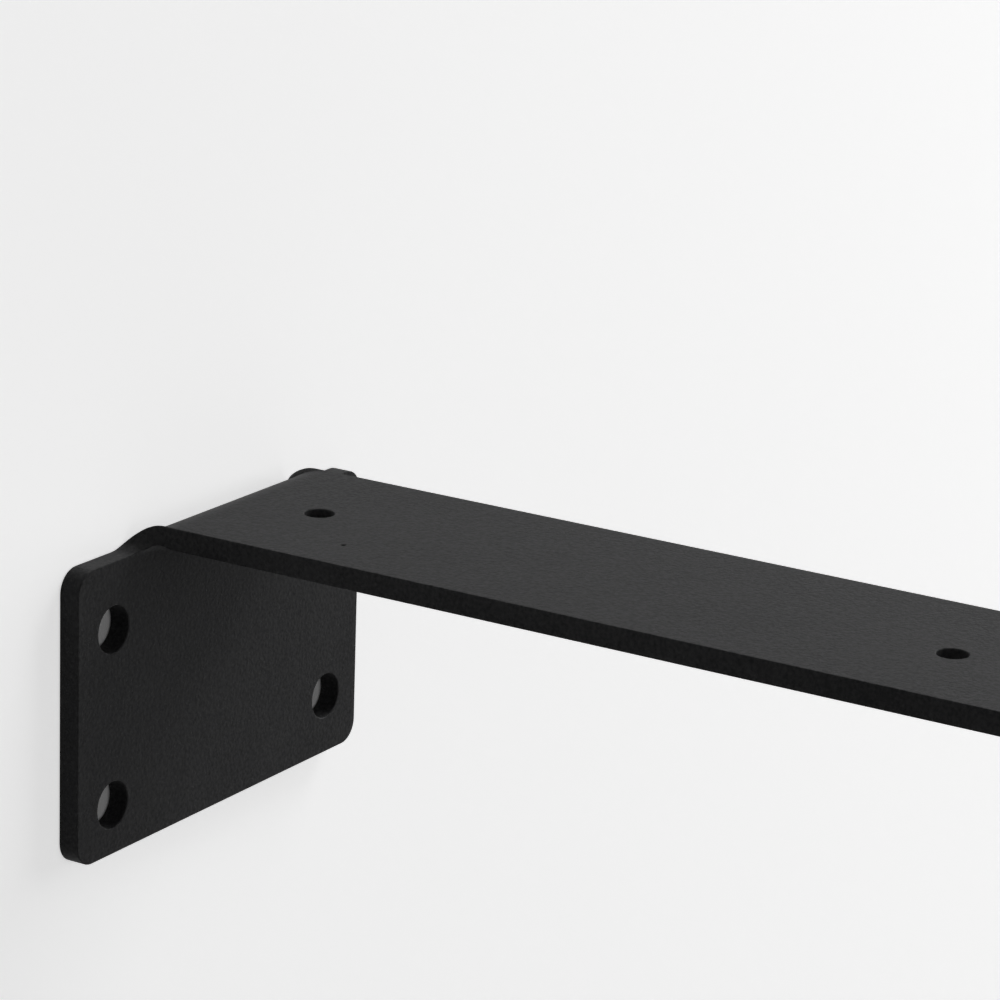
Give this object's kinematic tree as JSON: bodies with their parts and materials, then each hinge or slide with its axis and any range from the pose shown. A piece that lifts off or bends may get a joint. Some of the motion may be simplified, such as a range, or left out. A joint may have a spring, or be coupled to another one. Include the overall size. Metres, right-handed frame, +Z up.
{
  "type": "floating shelf bracket",
  "caption": "Folded steel bracket: a wall plate with rounded shoulders and screw holes, and a flat arm bent out at its top to carry a hidden shelf.",
  "frame": {"origin": "on the back face of the wall plate, on the centre line, midway in height between the upper and lower left screw holes", "axes": "+X along the wall to the right as seen facing the wall, +Y into the wall, +Z up; the arm reaches out along -Y with its top face 40.5 mm above the origin"},
  "size_m": [0.105, 0.22, 0.0715],
  "materials": {
    "black_coat": "matt black powder coat with a fine texture"
  },
  "bodies": {
    "root": {"bracket": "black_coat"}
  },
  "joints": []
}
